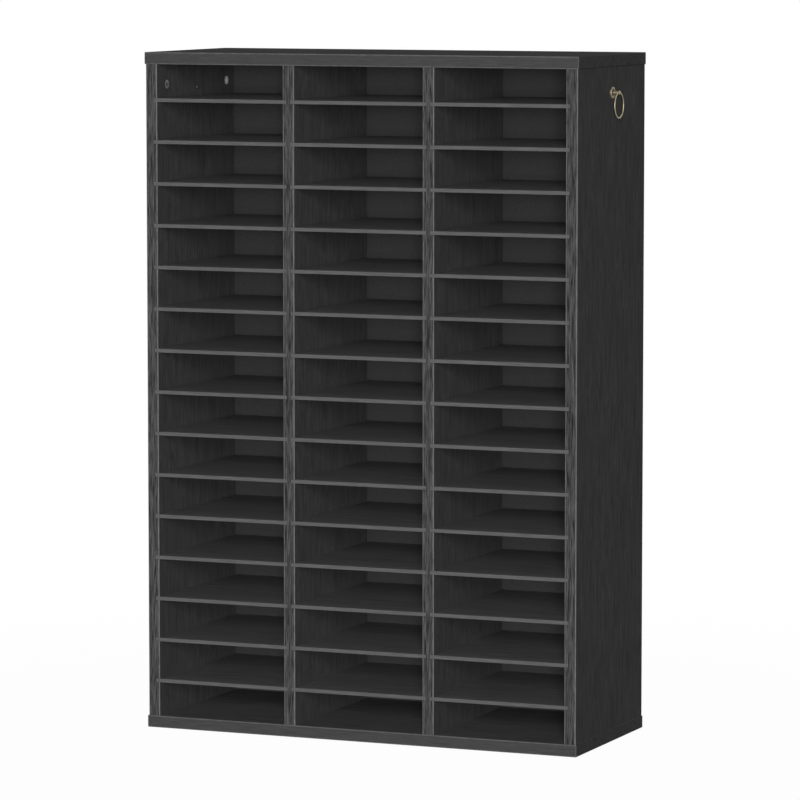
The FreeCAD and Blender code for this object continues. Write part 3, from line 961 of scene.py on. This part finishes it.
@dataclass
class RingPull:
    """One ring pull: a dished rosette, a waisted post, an eyed ball and its hanging ring.

    The post's bends are given by their height over the dish and their reach past its foot.
    """

    side: Side
    finishes: Finishes
    rosette_radius: float = 9.5 * MM
    rosette_thickness: float = 3.0 * MM
    bead_radius: float = 1.3 * MM
    bead_step: float = math.radians(15.0)
    bead_steps: int = 11
    dish_depth: float = 1.25 * MM
    dish_inset: float = 3.2 * MM
    foot_radius: float = 3.2 * MM
    post_bends: tuple[Span, ...] = ((0.0, 1.4 * MM), (0.2 * MM, 0.6 * MM), (0.9 * MM, 0.0),
                                    (3.2 * MM, -0.5 * MM))
    waist_radius: float = 2.3 * MM
    ball_radius: float = 3.2 * MM
    ball_steps: int = 11
    standoff: float = 12.5 * MM
    round_steps: int = 56
    eye_radius: float = 1.6 * MM
    drill_sides: int = 32
    drill_length: float = 30.0 * MM
    sharp_from: float = math.radians(38.0)
    ring_radius: float = 20.5 * MM
    ring_steps: int = 120
    wire_radius: float = 1.2 * MM
    wire_sides: int = 20
    dish_tarnish: float = 1.0
    post_tarnish: float = 0.5
    # Painted shade on the rosette's rear half, stronger towards the back.
    rear_painted_shade: float = 0.6
    tarnish_inset: float = 3.0 * MM
    tarnish_rise: float = 1.0 * MM
    bright_ball: float = 0.9

    def __post_init__(self) -> None:
        """Take the panel's face and the post's axis from the frame."""
        self.panel_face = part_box("right_side_panel")[1].x
        low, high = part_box("pull_posts")
        self.middle, self.height = (low.y + high.y) / 2, (low.z + high.z) / 2

    def _profile(self) -> list[Span]:
        """Work out the outline that the base is turned from.

        Returns:
            The reach from the panel and the radius at each bend.
        """
        bead, ball = self.bead_radius, self.ball_radius
        rim = [(self.rosette_thickness + bead * (math.sin(turn) - 1),
                self.rosette_radius + bead * (math.cos(turn) - 1))
               for turn in (self.bead_step * step for step in range(self.bead_steps))]
        floor = self.rosette_thickness - self.dish_depth
        post = [(floor + rise, self.foot_radius + reach) for rise, reach in self.post_bends]
        start = math.asin(self.waist_radius / ball)
        knob = [(self.standoff - ball * math.cos(turn), ball * math.sin(turn))
                for turn in (start + (math.pi - start) * step / self.ball_steps
                             for step in range(self.ball_steps))]
        return [(0.0, 0.0), (0.0, self.rosette_radius), *rim,
                (floor, self.rosette_radius - self.dish_inset), *post, *knob,
                (self.standoff + ball, 0.0)]

    def _base(self, form: bmesh.types.BMesh) -> None:
        """Turn the profile about the post's axis.

        Args:
            form: The bmesh to fill.
        """
        rows = []
        for reach, radius in self._profile():
            x = self.side.value * (self.panel_face + reach)
            steps = self.round_steps if radius else 1
            rows.append([form.verts.new((
                x, self.middle + radius * math.cos(turn), self.height + radius * math.sin(turn)))
                for turn in (2 * math.pi * step / steps for step in range(steps))])
        for inner, outer in zip(rows, rows[1:]):
            for step in range(self.round_steps):
                after = (step + 1) % self.round_steps
                corners = [inner[step % len(inner)], outer[step % len(outer)],
                           outer[after % len(outer)], inner[after % len(inner)]]
                form.faces.new(list(dict.fromkeys(corners)))

    def _bore(self, base: Piece) -> None:
        """Drill the eye through the ball, from front to rear.

        Args:
            base: The base, which keeps the drilled mesh.
        """
        eye = (self.side.value * (self.panel_face + self.standoff), self.middle, self.height)
        bpy.ops.mesh.primitive_cylinder_add(
            vertices=self.drill_sides, radius=self.eye_radius, depth=self.drill_length,
            location=eye, rotation=(QUARTER, 0.0, 0.0))
        drill = bpy.context.object
        bore = base.modifiers.new("eye", "BOOLEAN")
        bore.operation, bore.solver, bore.object = "DIFFERENCE", "EXACT", drill
        evaluated = base.evaluated_get(bpy.context.evaluated_depsgraph_get())
        base.data = bpy.data.meshes.new_from_object(evaluated)
        base.modifiers.remove(bore)
        bpy.data.objects.remove(drill)
        base.data.set_sharp_from_angle(angle=self.sharp_from)

    def _tarnish_and_shade(self, mesh: bpy.types.Mesh) -> None:
        """Mark the dish and the post, where no hand rubs the brass bright, and the rosette's rear
        half for painted shade.

        Args:
            mesh: The base's mesh.
        """
        dish_top = self.rosette_thickness - self.dish_depth + self.tarnish_rise
        dish_radius = self.rosette_radius - self.tarnish_inset
        ball_foot = self.standoff - self.bright_ball * self.ball_radius
        marks = mesh.attributes.new("hollow", "FLOAT", "POINT")
        for vertex, mark in zip(mesh.vertices, marks.data):
            reach = abs(vertex.co.x) - self.panel_face
            behind = vertex.co.y - self.middle
            radius = math.hypot(behind, vertex.co.z - self.height)
            if radius < dish_radius and reach < ball_foot:
                mark.value = self.dish_tarnish if reach < dish_top else self.post_tarnish
            # Painted shade on the rosette's rear half, stronger towards the back.
            elif radius >= dish_radius and behind > 0.0:
                mark.value = self.rear_painted_shade * behind / self.rosette_radius

    def _ring(self, form: bmesh.types.BMesh) -> None:
        """Draw the round wire round its circle.

        Args:
            form: The bmesh to fill.
        """
        x = self.side.value * (self.panel_face + self.standoff)
        rows = []
        for turn in (2 * math.pi * step / self.ring_steps for step in range(self.ring_steps)):
            rows.append([])
            for bend in (2 * math.pi * edge / self.wire_sides for edge in range(self.wire_sides)):
                reach = self.ring_radius + self.wire_radius * math.cos(bend)
                rows[-1].append(form.verts.new((
                    x + self.wire_radius * math.sin(bend),
                    self.middle + reach * math.cos(turn),
                    self.height - self.ring_radius + reach * math.sin(turn))))
        for row, after in zip(rows, rows[1:] + rows[:1]):
            for edge in range(self.wire_sides):
                other = (edge + 1) % self.wire_sides
                form.faces.new((row[edge], row[other], after[other], after[edge]))

    def build(self) -> Piece:
        """Make the base with its eye bored through, and the ring that hangs in it.

        Returns:
            The base, which is half of what replaces the posts.
        """
        word = self.side.name.lower()
        base = solid(f"{word}_pull_base", self._base, self.finishes.brass)
        self._bore(base)
        self._tarnish_and_shade(base.data)
        ring = solid(f"{word}_pull_ring", self._ring, self.finishes.brass)
        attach(base, "carcass")
        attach(ring, f"{word}_ring_body")
        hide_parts(f"{word}_ring")
        LOG.info("%s ring pull", word)
        return base


# ---- studio


@dataclass
class Lamp:
    """One soft square lamp, placed round what it lights.

    Its azimuth is measured to the right of the open front. At a level of 1 it shows a facing
    surface in the surface's own colour.
    """

    name: str
    azimuth: float
    elevation: float
    distance: float
    size: float
    level: float
    aim: Place = (0.0, 0.0, 0.566)

    def hang(self) -> None:
        """Put the lamp in the scene, turned to what it lights."""
        turn, rise = math.radians(self.azimuth), math.radians(self.elevation)
        back = Vector((math.sin(turn) * math.cos(rise), -math.cos(turn) * math.cos(rise),
                       math.sin(rise)))
        light = bpy.data.lights.new(self.name, "AREA")
        light.shape, light.size = "SQUARE", self.size
        light.energy = self.level * (math.pi * self.distance) ** 2
        lamp = shown(self.name, light)
        lamp.location = Vector(self.aim) + back * self.distance
        lamp.rotation_euler = (-back).to_track_quat("-Z", "Y").to_euler()


@dataclass
class Studio:
    """White floor and surroundings, soft lamps and the camera."""

    ambient: float = 0.04
    floor_half: float = 30.0
    floor_tone: Colour = grey(0.22)
    floor_glow: float = 0.98
    glow_span: Span = (0.7, 1.8)
    camera_place: Place = (3.0296, -7.1890, 1.3288)
    camera_yaw: float = 22.7904
    camera_pitch: float = -5.6828
    focal_length: float = 211.298
    sensor_width: float = 36.0
    clip: Span = (0.1, 200.0)
    # Each lamp's azimuth and elevation in degrees, distance and size in metres, and level.
    lamps: Sequence[Lamp] = field(default_factory=lambda: [
        Lamp("front_level", 22.0, 2.5, 20.0, 3.0, 0.55),
        Lamp("front_raised", 22.0, 13.0, 20.0, 4.0, 0.43),
        Lamp("front_fill", 0.0, 3.0, 20.0, 3.0, 0.12),
        Lamp("overhead", 185.0, 64.0, 4.0, 1.6, 0.36),
        Lamp("rear_left", 215.0, 6.0, 4.5, 1.8, 0.55),
        Lamp("rear_right", 128.0, 38.0, 3.5, 0.6, 0.015)])

    @staticmethod
    def _seen(bench: Bench) -> Socket:
        """Return 1 for what the camera sees, straight, in a reflection or through glass."""
        path = bench.add("ShaderNodeLightPath").outputs
        either = bench.sum("MAXIMUM", path["Is Camera Ray"], path["Is Glossy Ray"])
        return bench.sum("MAXIMUM", either, path["Is Transmission Ray"])

    def _surroundings(self) -> None:
        """Make the world white to the eye and quieter as a light."""
        world = bpy.data.worlds.new("studio")
        bpy.context.scene.world = world
        bench = cleared(world)
        strength = bench.spread(self._seen(bench), UNIT, (self.ambient, 1.0))
        glow = bench.out("ShaderNodeBackground", {"Color": WHITE, "Strength": strength})
        bench.add("ShaderNodeOutputWorld", {"Surface": glow})

    def _floor(self) -> None:
        """Lay the pale floor, which keeps the sorter's shadow."""
        mesh = bpy.data.meshes.new("studio_floor")
        half = self.floor_half
        mesh.from_pydata([(-half, -half, 0.0), (half, -half, 0.0), (half, half, 0.0),
                          (-half, half, 0.0)], [], [(0, 1, 2, 3)])
        material = bpy.data.materials.new("studio_floor")
        bench = cleared(material)
        matt = bench.out("ShaderNodeBsdfDiffuse", {"Color": self.floor_tone})
        glow = bench.out("ShaderNodeEmission", {"Color": WHITE, "Strength": 1.0})
        spot = bench.add("ShaderNodeTexCoord").outputs["Object"]
        far = bench.vectors("LENGTH", spot)["Value"]
        glow_here = bench.spread(far, self.glow_span, (self.floor_glow, 1.0))
        share = bench.sum("MULTIPLY", self._seen(bench), glow_here)
        mixed = bench.out("ShaderNodeMixShader", {0: share, 1: matt, 2: glow})
        bench.add("ShaderNodeOutputMaterial", {"Surface": mixed})
        mesh.materials.append(material)
        floor = shown("studio_floor", mesh)

    def _camera(self) -> None:
        """Set the camera at its place and angle."""
        lens = bpy.data.cameras.new("camera")
        lens.sensor_width, lens.lens = self.sensor_width, self.focal_length
        lens.clip_start, lens.clip_end = self.clip
        camera = shown("camera", lens)
        camera.location = self.camera_place
        camera.rotation_euler = (QUARTER + math.radians(self.camera_pitch), 0.0,
                                 math.radians(self.camera_yaw))
        bpy.context.scene.camera = camera

    def build(self) -> None:
        """Make the whole studio."""
        bpy.context.scene.view_settings.view_transform = "Standard"
        self._surroundings()
        self._floor()
        self._camera()
        for lamp in self.lamps:
            lamp.hang()
        LOG.info("studio and camera")


def main() -> None:
    """Dress the carcass, make its pieces and set the studio."""
    logging.basicConfig(level=logging.INFO, format="%(name)s: %(message)s")
    finishes = Finishes(SharedEffects())
    Carcass(finishes).dress()
    Shelves(finishes).build()
    Fittings(finishes).build()
    bases = [RingPull(side, finishes).build() for side in Side]
    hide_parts("pull_posts")
    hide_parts("pull_posts")
    Studio().build()


if __name__ == "__main__":
    main()
